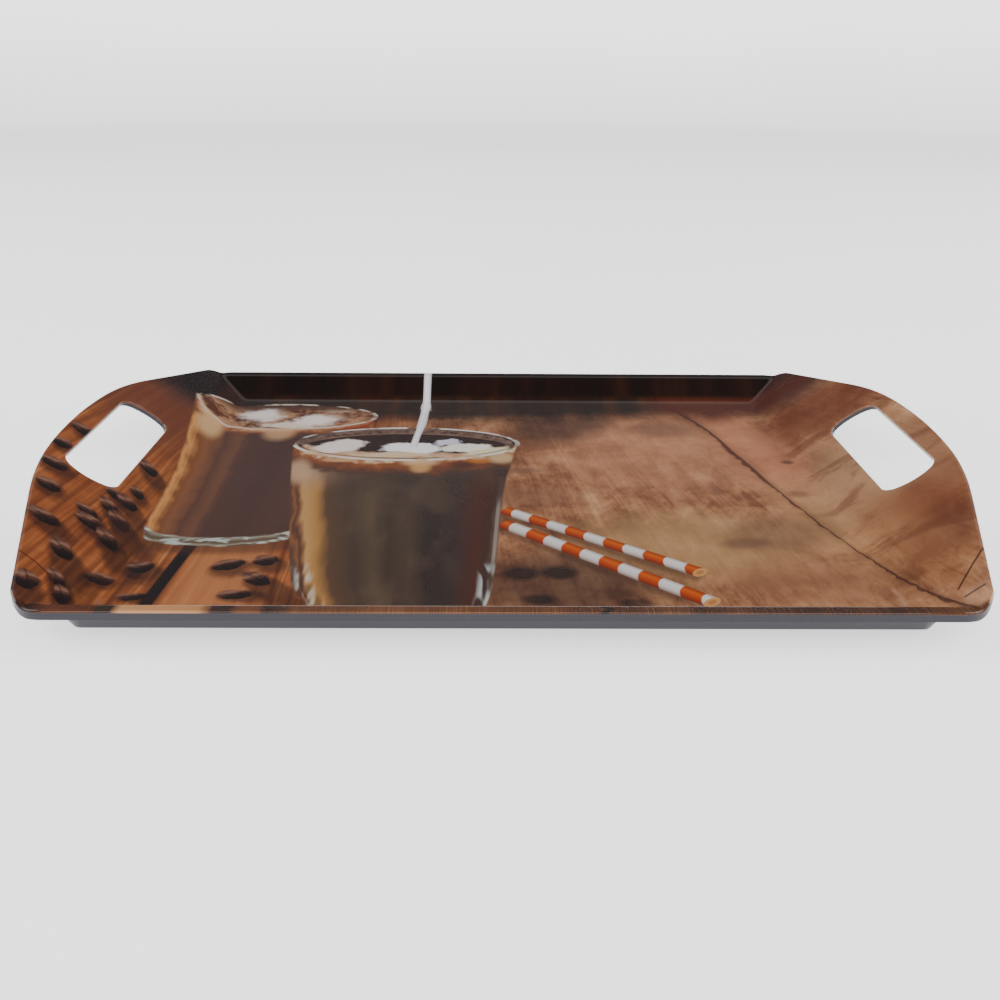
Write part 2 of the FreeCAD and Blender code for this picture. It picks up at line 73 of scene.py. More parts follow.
class Art:
    """Builds a node tree out of fields."""

    # The Mix node has one set of sockets for each kind of data; these are the colour ones
    COLOUR_UNDER, COLOUR_OVER, COLOUR_RESULT = 6, 7, 2

    def __init__(self, tree):
        self.nodes, self.links = tree.nodes, tree.links

    def socket_kind(self, value):
        """The kind of group socket that takes the value: a number or a colour."""
        if isinstance(value, Field):
            is_colour = value.socket.type == "RGBA"
        else:
            is_colour = isinstance(value, tuple)
        return "NodeSocketColor" if is_colour else "NodeSocketFloat"

    def run(self, draw, **given):
        """Adds what a drawing function makes, as a node group; the same function reuses its group."""
        tree = bpy.data.node_groups.get(draw.__name__)
        if tree is None:
            tree = bpy.data.node_groups.new(draw.__name__, "ShaderNodeTree")
            for name, value in given.items():
                tree.interface.new_socket(name, in_out="INPUT", socket_type=self.socket_kind(value))
            tree.interface.new_socket("result", in_out="OUTPUT", socket_type="NodeSocketColor")
            inner = Art(tree)
            source = inner.nodes.new("NodeGroupInput")
            result = draw(inner, **{name: Field(inner, source.outputs[name]) for name in given})
            inner.links.new(result.socket, inner.nodes.new("NodeGroupOutput").inputs[0])
        made = self.nodes.new("ShaderNodeGroup")
        made.node_tree = tree
        for name, value in given.items():
            self.feed(made.inputs[name], value)
        return self.out(made)

    def node(self, kind, inputs=(), **props):
        """A new node with its inputs fed in order, or by name where they come as a dictionary."""
        made = self.nodes.new(kind)
        for prop, value in props.items():
            setattr(made, prop, value)
        for key, value in (inputs.items() if isinstance(inputs, dict) else enumerate(inputs)):
            self.feed(made.inputs[key], value)
        return made

    def feed(self, socket, value):
        """Links a field to the socket, or sets the socket to a constant."""
        if isinstance(value, Field):
            self.links.new(value.socket, socket)
        else:
            socket.default_value = value

    def out(self, made, name=0):
        """An output of a node as a field, by name or number."""
        return Field(self, made.outputs[name])

    def math(self, kind, *values):
        """A field worked out by a Math node."""
        return self.out(self.node("ShaderNodeMath", values, operation=kind))

    def step(self, field, low, high):
        """0 where the field is at low and beyond, 1 at high and beyond, smooth between."""
        made = self.node("ShaderNodeMapRange", (field, low, high),
                         interpolation_type="SMOOTHSTEP", clamp=False)
        return self.out(made)

    def between(self, field, low, high, soft):
        """1 from low to high, fading over `soft` to both sides of each end."""
        return self.step(field, low - soft, low + soft) * self.step(field, high + soft, high - soft)

    def local(self, u, v, cu, cv, au, av, bu, bv):
        """The point's coordinates along and across a placed shape."""
        across_u, across_v = u - cu, v - cv
        return (self.math("MULTIPLY_ADD", across_u, au, across_v * av),
                self.math("MULTIPLY_ADD", across_u, bu, across_v * bv))

    def length(self, a, b):
        """The length of the vector (a, b)."""
        return self.math("SQRT", self.math("MULTIPLY_ADD", a, a, b * b))

    def ellipse(self, u, v, centre, size, turn=0.0, soft=0.1):
        """1 inside an ellipse, fading over a share `soft` of its size."""
        reach = self.length(*self.local(u, v, **place(centre, size, turn)))
        return self.step(reach, 1 + soft, 1 - soft)

    def noise(self, width, length=None, detail=2.0, rough=0.5, distortion=0.0):
        """Cloudy noise, about `width` millimetres along the tray and `length` across it."""
        coordinate = self.out(self.node("ShaderNodeTexCoord"), "Object")
        scale = (MM_PER_METRE / width, MM_PER_METRE / (length or width), 1.0)
        mapped = self.out(self.node("ShaderNodeMapping", {"Vector": coordinate, "Scale": scale}))
        made = self.node("ShaderNodeTexNoise", {
            "Vector": mapped, "Scale": 1.0, "Detail": detail, "Roughness": rough,
            "Distortion": distortion}, noise_dimensions="2D")
        return self.out(made)

    def lines(self, field, width, detail=2.0, rough=0.5):
        """Noise that varies with one field only."""
        made = self.node("ShaderNodeTexNoise", {
            "W": field * (1 / width), "Scale": 1.0, "Detail": detail, "Roughness": rough},
            noise_dimensions="1D")
        return self.out(made)

    def ramp(self, field, low, high, stops):
        """Colours along a field; stops are (field value, colour)."""
        made = self.node("ShaderNodeValToRGB", ((field - low) * (1 / (high - low)),))
        elements = made.color_ramp.elements
        while len(elements) < len(stops):
            elements.new(1.0)
        for element, (at, colour) in zip(elements, stops):
            element.position = (at - low) / (high - low)
            element.color = linear(colour)
        return self.out(made)

    def curve(self, field, points):
        """A smooth function of the field through (field value, result) points."""
        xs, ys = [p[0] for p in points], [p[1] for p in points]
        low, high, bottom, top = min(xs), max(xs), min(ys), max(ys)
        made = self.node("ShaderNodeFloatCurve", {"Value": (field - low) * (1 / (high - low))})
        line = made.mapping.curves[0]
        spots = [((x - low) / (high - low), (y - bottom) / (top - bottom)) for x, y in sorted(points)]
        line.points[0].location, line.points[1].location = spots[0], spots[-1]
        for spot in spots[1:-1]:
            line.points.new(*spot)
        made.mapping.update()
        return self.out(made) * (top - bottom) + bottom

    def mix(self, mask, under, over):
        """The colour `under` where the mask is 0, `over` where it is 1."""
        made = self.node("ShaderNodeMix", data_type="RGBA", clamp_factor=True)
        self.feed(made.inputs["Factor"], mask)
        for index, value in ((self.COLOUR_UNDER, under), (self.COLOUR_OVER, over)):
            self.feed(made.inputs[index], linear(value) if isinstance(value, tuple) else value)
        return self.out(made, self.COLOUR_RESULT)

    def bump(self, height, distance):
        """A normal tilted by a height of 0 to 1 that stands for `distance` metres."""
        return self.out(self.node("ShaderNodeBump", {"Height": height, "Distance": distance}))


def spot(art, base, u, v, soft, colour, strength, **where):
    """One soft-edged ellipse of colour over what is there."""
    reach = art.length(*art.local(u, v, **where))
    return art.mix(art.step(reach, soft + 1.0, 1.0 - soft) * strength, base, colour)


def spots(art, base, u, v, soft, items):
    """Soft ellipses: (centre, half sizes, turn in degrees, colour, strength)."""
    for centre, size, turn, colour, strength in items:
        base = art.run(spot, base=base, u=u, v=v, soft=soft, colour=linear(colour),
                       strength=strength, **place(centre, size, turn))
    return base


# ---------------------------------------------------------------- the picture
def sheet_coordinates(art):
    """u, v on the printed sheet and the tray's y, in millimetres, and a mask of the long sides.

    Up a slope the sheet is longer than its plan by 1 over the cosine of the slope's angle. The mask is 0
    on the end flanges; the two meet where a flange has climbed as high as a wall.
    """
    coordinate = art.out(art.node("ShaderNodeTexCoord"), "Object")
    parts = art.node("ShaderNodeSeparateXYZ", (coordinate,))
    x, y = art.out(parts, "X") * MM_PER_METRE, art.out(parts, "Y") * MM_PER_METRE
    flange, wall = math.radians(FLANGE_ANGLE), math.radians(WALL_ANGLE)
    beyond = art.math("MAXIMUM", art.math("ABSOLUTE", x) - FLOOR_HALF_LENGTH, 0.0)
    u = x + art.math("SIGN", x) * beyond * (1 / math.cos(flange) - 1)
    climb = art.math("MAXIMUM", art.math("ABSOLUTE", y) - FLOOR_HALF_WIDTH, 0.0)
    climb = art.math("MINIMUM", climb, CREST_HALF_WIDTH - FLOOR_HALF_WIDTH)
    on_wall = art.step(beyond * math.tan(flange) - climb * math.tan(wall), 0.2, -0.2)
    v = y + art.math("SIGN", y) * climb * on_wall * (1 / math.cos(wall) - 1)
    return u, v, y, on_wall


FAR_POINT = (-119.0, 1085.0)  # where the boards' lines would meet, far past the sheet
TRUE_WIDTH_AT = -100.0        # the v where the boards are drawn at their own width


def boards(art, u, v):
    """Weathered boards that run towards the far point, with blotches of lighter and darker wood."""
    grain = (u - FAR_POINT[0]) / (FAR_POINT[1] - v) * (FAR_POINT[1] - TRUE_WIDTH_AT)
    drift = grain + art.noise(40.0, 160.0) * 14.0
    fine = art.lines(drift, 2.6, detail=4.0, rough=0.6)
    broad = art.lines(drift, 14.0, detail=3.0)
    blotch = art.noise(48.0, detail=6.0, rough=0.65)
    scuffs = art.noise(10.0, 26.0, detail=5.0, rough=0.7, distortion=0.6)
    aged = art.ramp(blotch * 0.5 + scuffs * 0.28 + broad * 0.12 + fine * 0.1, 0.3, 0.7, [
        (0.3, (78, 46, 34)), (0.43, (124, 83, 60)), (0.5, (156, 112, 84)), (0.57, (178, 134, 103)),
        (0.7, (212, 172, 136))])
    rings = art.math("SINE", grain * 0.7 + art.noise(36.0, 200.0) * 15.0)
    new = art.ramp(fine * 0.35 + broad * 0.3 + blotch * 0.35, 0.3, 0.7, [
        (0.3, (98, 52, 34)), (0.45, (136, 82, 54)), (0.55, (160, 102, 68)), (0.7, (196, 138, 98))])
    new = art.mix(art.step(rings, 0.1, 1.0) * 0.42, new, (84, 46, 33))
    return art.mix(art.step(u, -100.0, -40.0), new, aged)


WOOD_SPOTS = (
    # centre, half sizes, turn, colour, strength
    ((105, 60), (75, 70), 0, (190, 140, 112), 0.5), ((168, 60), (22, 75), 8, (206, 144, 114), 0.6),
    ((100, -85), (60, 40), 0, (182, 148, 108), 0.6), ((180, -60), (18, 60), 8, (200, 156, 116), 0.6),
    ((30, -130), (46, 36), 0, (64, 44, 38), 0.75), ((38, 98), (30, 26), 0, (74, 52, 44), 0.75),
    ((66, 112), (16, 14), 0, (84, 60, 50), 0.6), ((150, -72), (34, 20), 20, (104, 74, 60), 0.5),
    ((130, -84), (13, 6), 10, (98, 70, 58), 0.5), ((112, 98), (24, 14), 0, (112, 84, 70), 0.5),
    ((14, 20), (9, 5), 0, (86, 60, 52), 0.5), ((184, 36), (4, 3), 0, (96, 66, 58), 0.8),
    ((177, -16), (6, 5), 0, (118, 84, 66), 0.6), ((129, -7), (3, 8), 10, (104, 74, 62), 0.5),
    ((20, -20), (24, 18), 0, (120, 84, 66), 0.5), ((150, -128), (40, 24), 0, (160, 116, 88), 0.5),
    # right flange
    ((222, -20), (34, 56), 0, (182, 148, 118), 0.7), ((225, 88), (44, 38), 0, (112, 64, 44), 0.8),
    ((222, 160), (40, 36), 0, (66, 50, 46), 0.95), ((236, -78), (26, 24), 0, (126, 78, 56), 0.8),
    ((228, -112), (22, 20), 0, (104, 62, 46), 0.7), ((212, -90), (14, 60), 5, (158, 112, 82), 0.5),
    ((250, -30), (12, 44), 0, (156, 116, 90), 0.7),
    # left flange
    ((-236, 70), (40, 60), 0, (104, 62, 46), 0.8), ((-225, 145), (40, 44), 0, (58, 42, 40), 0.95),
)


def cracks(art, wood, u, v):
    """A darker cloud and the long crack at the right, a pale plank and a gap beside it at the left."""
    knots = art.noise(60.0, 30.0, detail=5.0, rough=0.65, distortion=0.5)
    wood = art.mix(art.step(knots, 0.5, 0.66) * art.step(u, 150.0, 205.0) * 0.5, wood, (104, 64, 48))
    wood = art.mix(art.between(u, -160.0, -120.0, 8.0) * art.step(v, -60.0, -100.0) * 0.55,
                   wood, (196, 138, 100))
    gap = art.curve(v, [(-160, -168.5), (-120, -166.0), (-85, -163.0), (-60, -160.0)])
    wood = art.mix(art.between(u - gap, -3.4, 3.4, 0.9) * art.step(v, -60.0, -66.0), wood, (34, 24, 24))
    crack = art.curve(v, [(-180, 214), (-155, 203.5), (-130, 196), (-105, 190), (-85, 184), (-55, 176),
                          (-30, 170), (0, 163), (30, 157.5), (55, 152), (90, 146), (125, 135),
                          (148, 125), (165, 117)])
    width = art.curve(v, [(-180, 1.6), (-120, 0.7), (-60, 0.8), (0, 1.3), (50, 2.2), (100, 1.4),
                          (165, 1.6)])
    wander = art.noise(9.0, detail=2.0)
    off = art.math("ABSOLUTE", u - crack + (wander - 0.5) * 3.0) / (width * wander * 1.5)
    wood = art.mix(art.step(off, 1.7, 0.5) * 0.85, wood, (66, 40, 35))
    return art.mix(art.step(off, 9.0, 0.0) * 0.3, wood, (96, 62, 52))


def background(art, base, u, v):
    """The dark, out of focus background along the far edge."""
    streak = art.noise(16.0, 400.0)
    far = art.ramp(streak, 0.3, 0.7, [
        (0.3, (22, 10, 7)), (0.45, (29, 14, 8)), (0.55, (38, 18, 10)), (0.7, (56, 28, 14))])
    far = art.mix(art.step(u, 100.0, 130.0), far, (86, 40, 28))
    far = art.mix(art.step(v, 158.0, 170.0) * 0.6, far, (40, 16, 9))
    ragged = art.noise(30.0, 200.0) * 24.0 - 12.0
    near_end = art.curve(u, [(-260, 100), (-180, 112), (-60, 113), (10, 115), (60, 118), (120, 121),
                             (190, 126), (260, 156)])
    return art.mix(art.step(v + ragged - near_end, -14.0, 20.0) * 0.95, base, far)


BEANS = (
    # centre, half sizes, turn in degrees
    ((-212, -11), (8.0, 4.6), -42), ((-208, -43), (6.0, 3.8), -50), ((-217.5, -57), (6.5, 3.6), -36),
    ((-209, -58), (7.5, 4.4), -44), ((-215, -71), (8.0, 4.2), -40), ((-206, -79), (9.0, 4.6), -45),
    ((-222, -86), (6.5, 3.8), -20), ((-217, -94), (8.5, 5.2), -18), ((-205, -100), (9.0, 4.6), -46),
    ((-245, -83), (6.5, 5.4), 0), ((-251, -61), (7.5, 5.4), 10), ((-256, -38), (5.5, 5.0), 0),
    ((-236, -111), (8.5, 5.2), -12), ((-219, -128), (8.8, 5.2), -44), ((-196, -134), (7.5, 4.4), 38),
    ((-182, -114), (7.0, 5.8), -40), ((-177, -145), (7.0, 3.6), 4), ((-139, -111), (7.8, 6.0), 22),
    ((-121, -106), (6.6, 5.8), -30), ((-122, -126), (9.2, 5.0), -46), ((-128.5, -142.5), (8.4, 4.4), 0),
    ((-212, -151), (7.0, 4.0), -50), ((-206, -160), (6.5, 4.2), -62), ((-222, -163), (7.0, 5.6), -70),
    ((-254, -12), (7.0, 5.0), -20),
)
BLURRED_BEANS = (
    ((9, -120), (9, 7), 0, (38, 27, 26), 0.8), ((28, -119), (9, 7), 0, (38, 27, 26), 0.8),
    ((17, -147), (8, 5), 0, (38, 27, 26), 0.8), ((63, -150), (9, 4), 0, (38, 27, 26), 0.6),
)


def bean(art, base, u, v, mottle, **where):
    """One coffee bean and its shade."""
    along, across = art.local(u, v, **where)
    reach = art.length(along, across) + (mottle - 0.5) * 0.5
    lit = (v - where["cv"]) * 0.17 - (u - where["cu"]) * 0.08
    base = art.mix(art.step(reach + lit * 0.45, 1.55, 0.8) * 0.7, base, (50, 27, 21))
    skin = art.ramp(lit + (mottle - 0.5) * 0.9, -0.9, 1.1, [
        (-0.9, (26, 14, 13)), (-0.15, (46, 27, 23)), (0.3, (90, 60, 50)), (0.65, (138, 104, 88)),
        (1.1, (96, 66, 55))])
    seam = art.step(art.math("ABSOLUTE", across + along * along * 0.35 - 0.1), 0.2, 0.02)
    skin = art.mix(seam * 0.5, skin, (28, 16, 16))
    return art.mix(art.step(reach, 1.18, 0.86), base, skin)


BAND_PAIR = 24.4  # millimetres from one orange band of a straw to the next


def straw(art, base, u, v, length, bands, **where):
    """A paper straw with its shade, slanting bands and an open end."""
    along, across = art.local(u, v, **where)
    base = art.mix(art.step(art.math("ABSOLUTE", across + 0.9), 1.6, 0.5) * art.step(along, -1.0, 1.0)
                   * art.step(along - length, 6.0, 1.0) * 0.55, base, (66, 42, 32))
    bowed = along - across * across * 1.8 + across * 2.4
    wave = art.math("SINE", bowed * (2 * math.pi / BAND_PAIR) + bands)
    white = art.ramp(across, -1, 1, [(-1, (132, 112, 104)), (-0.4, (200, 190, 184)),
                                     (0.5, (216, 212, 210)), (1, (168, 152, 142))])
    orange = art.ramp(across, -1, 1, [(-1, (112, 40, 20)), (-0.3, (168, 70, 34)), (0.35, (194, 102, 58)),
                                      (1, (140, 60, 28))])
    paper = art.mix(art.step(wave, -0.12, 0.12), orange, white)
    inside = (art.step(art.math("ABSOLUTE", across), 1.06, 0.94) * art.step(along, -0.4, 0.4)
              * art.step(along - length, 0.4, -0.4))
    base = art.mix(inside, base, paper)
    mouth = art.length((along - length) * (1 / 3), across)
    base = art.mix(art.step(mouth, 1.1, 0.95), base, (196, 146, 100))
    return art.mix(art.step(mouth, 0.75, 0.3) * 0.6, base, (150, 96, 58))


def straws(art, base, u, v, items):
    """Straws from (start, end, half width, shift of the bands)."""
    for start, end, half_width, bands in items:
        run = Vector(end) - Vector(start)
        base = art.run(straw, base=base, u=u, v=v, length=run.length, bands=bands,
                       **place(start, (1.0, half_width), math.degrees(math.atan2(run.y, run.x))))
    return base


def arc_drop(art, u, v, centre, size):
    """How far a point lies below the near half of an ellipse."""
    reach = (u - centre[0]) * (1 / size[0])
    arc = art.math("SQRT", art.math("MAXIMUM", 1.0 - reach * reach, 0.02))
    return centre[1] - v - arc * size[1]


def ring(art, u, v, centre, size, width, gleam, shine):
    """Mask of a drinking rim: a thin ellipse that catches the light unevenly."""
    reach = art.length(*art.local(u, v, **place(centre, size)))
    off = art.math("ABSOLUTE", reach - 1.0) * art.length(u - centre[0], v - centre[1])
    return art.step(off, width, width * 0.45) * art.step(gleam, 0.62 - shine, 0.78 - shine)


# Centre and half sizes of the ellipses of a glass: its rim, and its foot
REAR_RIM, REAR_SIZE = (-152.0, 123.0), (64.0, 27.0)
REAR_FOOT, REAR_FOOT_SIZE = (-153.0, -70.0), (46.0, 20.0)


def rear_glass(art, base, u, v, mottle, blur):
    """The rear glass below its rim: the coffee behind the side, foam on top, and the thick foot."""
    left = art.curve(v, [(-92, -182), (-80, -191), (-60, -195), (-40, -196), (0, -199), (50, -206),
                         (85, -212), (125, -219)])
    right = art.curve(v, [(-92, -112), (0, -106), (60, -98), (125, -88)])
    across = (u - left) / (right - left)
    below = arc_drop(art, u, v, REAR_RIM, REAR_SIZE)
    streaks = art.lines(across * 100.0, 9.0)
    body = art.ramp(across + (blur - 0.5) * 0.06 + (streaks - 0.5) * 0.12, 0, 1, [
        (0.0, (122, 80, 54)), (0.04, (200, 146, 98)), (0.09, (124, 82, 56)), (0.15, (132, 90, 66)),
        (0.22, (96, 66, 53)), (0.3, (112, 78, 62)), (0.38, (86, 61, 54)), (0.6, (80, 57, 51)),
        (0.8, (86, 61, 54)), (1.0, (80, 58, 52))])
    foam = art.ramp(below + (mottle - 0.5) * 10.0 + (blur - 0.5) * 14.0, 0, 14, [
        (0, (208, 184, 160)), (4, (184, 140, 108)), (8, (142, 92, 66)), (14, (100, 66, 52))])
    body = art.mix(art.step(below + (blur - 0.5) * 14.0, 18.0, 8.0), body, foam)
    body = spots(art, body, u, v, 0.5, (
        ((-150, 88), (10, 14), 0, (206, 168, 132), 0.7), ((-199, 90), (9, 18), 6, (214, 178, 136), 0.8),
        ((-97, 100), (10, 24), -20, (150, 66, 44), 0.6)))
    rise = arc_drop(art, u, v, REAR_FOOT, REAR_FOOT_SIZE) * -1.0
    foot = art.ramp(rise + (blur - 0.5) * 6.0, 0, 12, [
        (0, (88, 74, 62)), (1.5, (150, 142, 124)), (3.5, (112, 96, 78)), (6, (96, 80, 66)),
        (8.5, (132, 122, 106)), (10, (150, 142, 130)), (12, (96, 74, 62))])
    gleam = art.step(art.noise(12.0, 5.0), 0.5, 0.62)
    foot = art.mix(gleam * 0.7, foot, (196, 204, 196))
    body = art.mix(art.step(rise, 12.0, 9.5), body, foot)
    base = art.mix(art.ellipse(u, v, (-150, -82), (56, 17), soft=0.25) * 0.6, base, (70, 44, 34))
    inside = art.between(across, 0.0, 1.0, 0.012) * art.step(v, 125.0, 122.0) * art.step(rise, -1.0, 1.0)
    return art.mix(inside, base, body)


def rear_drink(art, base, u, v, mottle, blur):
    """The drink's surface in the rear glass, with ice, and the rim."""
    flat_u, flat_v = u, v
    u, v = u + (mottle - 0.5) * 18.0, v + (blur - 0.5) * 16.0
    surface = art.mix(art.step(mottle * 0.5 + blur * 0.5, 0.4, 0.6), (96, 58, 42), (176, 136, 108))
    surface = spots(art, surface, u, v, 0.45, (
        ((-170, 126), (14, 14), -20, (234, 222, 214), 1),
        ((-130, 113), (17, 11), 25, (234, 222, 214), 1),
        ((-150, 102), (16, 7), 0, (222, 204, 190), 1),
        ((-118, 138), (12, 6), -10, (196, 168, 146), 1)))
    surface = art.mix(art.step(v, 128.0, 146.0), surface, (84, 56, 44))
    u, v = flat_u, flat_v
    inside = art.ellipse(u, v, REAR_RIM, (REAR_SIZE[0] - 1, REAR_SIZE[1] - 1), soft=0.04)
    base = art.mix(inside, base, surface)
    return art.mix(ring(art, u, v, REAR_RIM, REAR_SIZE, 2.4, blur, 0.16) * 0.85, base, (206, 194, 182))


FRONT_RIM, FRONT_SIZE = (-62.0, 68.0), (74.0, 31.0)
LEVEL, LEVEL_SIZE = (FRONT_RIM[0], FRONT_RIM[1] - 8.0), (68.0, 27.0)  # the drink's surface


def front_glass(art, base, u, v, mottle, blur):
    """The front glass below its rim: the coffee behind the side, foam on top, and gleams low down."""
    left = art.curve(v, [(-160, -90), (-150, -94), (-135, -102), (-120, -106), (-100, -110), (-60, -117),
                         (-20, -124), (20, -130), (50, -134.5), (69, -136)])
    right = art.curve(v, [(-160, -12), (-145, -7), (-120, -4.5), (-100, -3), (-40, 0), (0, 3),
                          (40, 8), (69, 12)])
    across = (u - left) / (right - left)
    wavy = across + (art.noise(22.0, 110.0, detail=3.0) - 0.5) * 0.16
    upper = art.ramp(wavy, 0, 1, [
        (0.0, (118, 74, 54)), (0.03, (156, 112, 84)), (0.07, (176, 144, 120)), (0.13, (166, 138, 114)),
        (0.19, (124, 100, 82)), (0.27, (92, 74, 63)), (0.42, (74, 60, 53)), (0.6, (66, 54, 49)),
        (0.82, (76, 58, 50)), (0.94, (88, 62, 50)), (1.0, (62, 48, 43))])
    lower = art.ramp(wavy, 0, 1, [
        (0.0, (90, 66, 54)), (0.015, (138, 92, 64)), (0.03, (84, 58, 46)), (0.045, (142, 102, 74)),
        (0.06, (184, 146, 102)), (0.12, (170, 128, 82)), (0.185, (92, 70, 53)), (0.3, (72, 58, 48)),
        (0.4, (86, 70, 56)), (0.5, (68, 54, 46)), (0.58, (78, 62, 52)), (0.66, (56, 44, 40)),
        (0.8, (62, 48, 43)), (0.9, (80, 46, 38)), (0.96, (70, 46, 38)), (1.0, (104, 88, 78))])
    body = art.mix(art.step(v, 22.0, -22.0), upper, lower)
    sway = art.noise(30.0, 60.0, detail=3.0)
    body = art.mix(art.step(sway, 0.45, 0.7) * art.between(across, 0.25, 0.8, 0.15) * 0.3, body,
                   (112, 92, 74))
    ragged = arc_drop(art, u, v, FRONT_RIM, FRONT_SIZE) + (mottle - 0.5) * 16.0 + (blur - 0.5) * 18.0
    foam = art.ramp(ragged, 0, 34, [
        (0, (206, 184, 158)), (2.5, (178, 134, 100)), (6, (142, 88, 60)), (14, (118, 74, 54)),
        (24, (86, 62, 52)), (34, (76, 60, 52))])
    body = art.mix(art.step(ragged, 36.0, 20.0), body, foam)
    body = spots(art, body, u, v, 0.5, (
        ((-51, 34), (11, 7), 0, (208, 178, 140), 0.85), ((-50, 24), (6, 8), 0, (198, 158, 112), 0.85),
        ((-102, 37), (11, 3.5), 0, (204, 168, 130), 0.8), ((1, 42), (9, 9), 0, (206, 178, 138), 0.8),
        ((-14, 36), (8, 4), 0, (186, 120, 68), 0.7), ((-24, 30), (8, 6), 0, (66, 44, 38), 0.6),
        ((-125, 18), (7, 19), 6, (192, 160, 132), 0.8)))
    speckle = art.noise(5.0, 26.0, detail=1.0)
    facets = (art.step(art.math("ABSOLUTE", across - 0.055), 0.07, 0.02)
              + art.step(art.math("ABSOLUTE", across - 0.97), 0.06, 0.02)) * art.step(v, -106.0, -118.0)
    body = art.mix(facets * art.step(speckle, 0.45, 0.65) * 0.8, body, (190, 196, 192))
    body = art.mix(facets * art.step(speckle, 0.5, 0.36) * 0.6, body, (62, 52, 48))
    edge = (art.step(art.math("ABSOLUTE", across - 0.985), 0.012, 0.005)
            * art.between(v, -110.0, -30.0, 10.0))
    body = art.mix(edge * 0.5, body, (170, 156, 146))
    return art.mix(art.between(across, 0.0, 1.0, 0.006) * art.step(v, 69.0, 67.5), base, body)


def front_drink(art, base, u, v, mottle, blur):
    """The drink's surface in the front glass, with ice and foam, the far wall above it, and the rim."""
    flat_u, flat_v = u, v
    u, v = u + (mottle - 0.5) * 12.0, v + (blur - 0.5) * 8.0 + (mottle - 0.5) * 5.0
    surface = art.mix(art.step(mottle, 0.4, 0.65) * 0.3, (52, 36, 33), (86, 62, 54))
    skirt = arc_drop(art, u, v, FRONT_RIM, (FRONT_SIZE[0], FRONT_SIZE[1] - 2.0))
    cream = art.mix(mottle, (226, 206, 178), (168, 112, 76))
    ragged = skirt + (blur - 0.5) * 20.0 + (mottle - 0.5) * 8.0
    surface = art.mix(art.step(ragged, -13.0, -7.0), surface, cream)
    surface = spots(art, surface, u, v, 0.16, (
        ((-105, 62), (17, 11.5), 20, (230, 216, 210), 1), ((-58, 59.5), (20, 10), 0, (236, 236, 234), 1),
        ((-35, 71), (9, 5), 0, (206, 202, 214), 1), ((-22, 60), (17, 8.5), 8, (232, 226, 214), 1),
        ((-8, 53), (15, 6), 20, (220, 206, 176), 1), ((-70, 47), (26, 4), 4, (212, 188, 158), 1)))
    u, v = flat_u, flat_v
    inner = art.length(*art.local(u, v, **place(LEVEL, LEVEL_SIZE)))
    back = art.ramp(mottle, 0.3, 0.7, [(0.3, (78, 58, 50)), (0.5, (108, 86, 76)), (0.7, (132, 108, 96))])
    surface = art.mix(art.step(inner, 0.97, 1.03), surface, back)
    line = art.step(art.math("ABSOLUTE", inner - 1.0), 0.035, 0.01) * art.step(v, 70.0, 80.0)
    surface = art.mix(line * 0.6, surface, (158, 120, 92))
    inside = art.ellipse(u, v, FRONT_RIM, (FRONT_SIZE[0] - 0.5, FRONT_SIZE[1] - 0.5), soft=0.02)
    base = art.mix(inside, base, surface)
    dark = ring(art, u, v, (FRONT_RIM[0], FRONT_RIM[1] + 1.2),
                (FRONT_SIZE[0] - 2.5, FRONT_SIZE[1] - 2.2), 1.4, blur, 0.3)
    base = art.mix(dark * 0.7, base, (52, 38, 36))
    return art.mix(ring(art, u, v, FRONT_RIM, FRONT_SIZE, 2.1, blur, 0.22) * 0.95, base, (216, 210, 204))


STRAWS = (
    # start, end, half width, shift of the bands
    ((1, -41), (99, -118), 5.2, -1.54), ((0, -59), (99, -149), 5.6, -1.54),
)


def milk(art, base, u, v):
    """The thin stream of milk, from the far rim down to the front glass."""
    middle = art.curve(v, [(60, -57.0), (80, -56.0), (100, -54.5), (130, -53.5), (160, -53.5),
                           (200, -53.5)])
    half = art.curve(v, [(60, 2.8), (78, 2.4), (95, 2.6), (110, 3.2), (135, 3.0), (145, 3.7), (160, 2.8),
                         (200, 3.2)])
    off = (u - middle) / half
    tone = art.ramp(off, -1, 1, [(-1, (208, 200, 198)), (-0.3, (240, 238, 240)), (0.4, (228, 226, 230)),
                                 (1, (196, 188, 186))])
    return art.mix(art.step(art.math("ABSOLUTE", off), 1.12, 0.85) * art.step(v, 60.0, 64.0), base, tone)


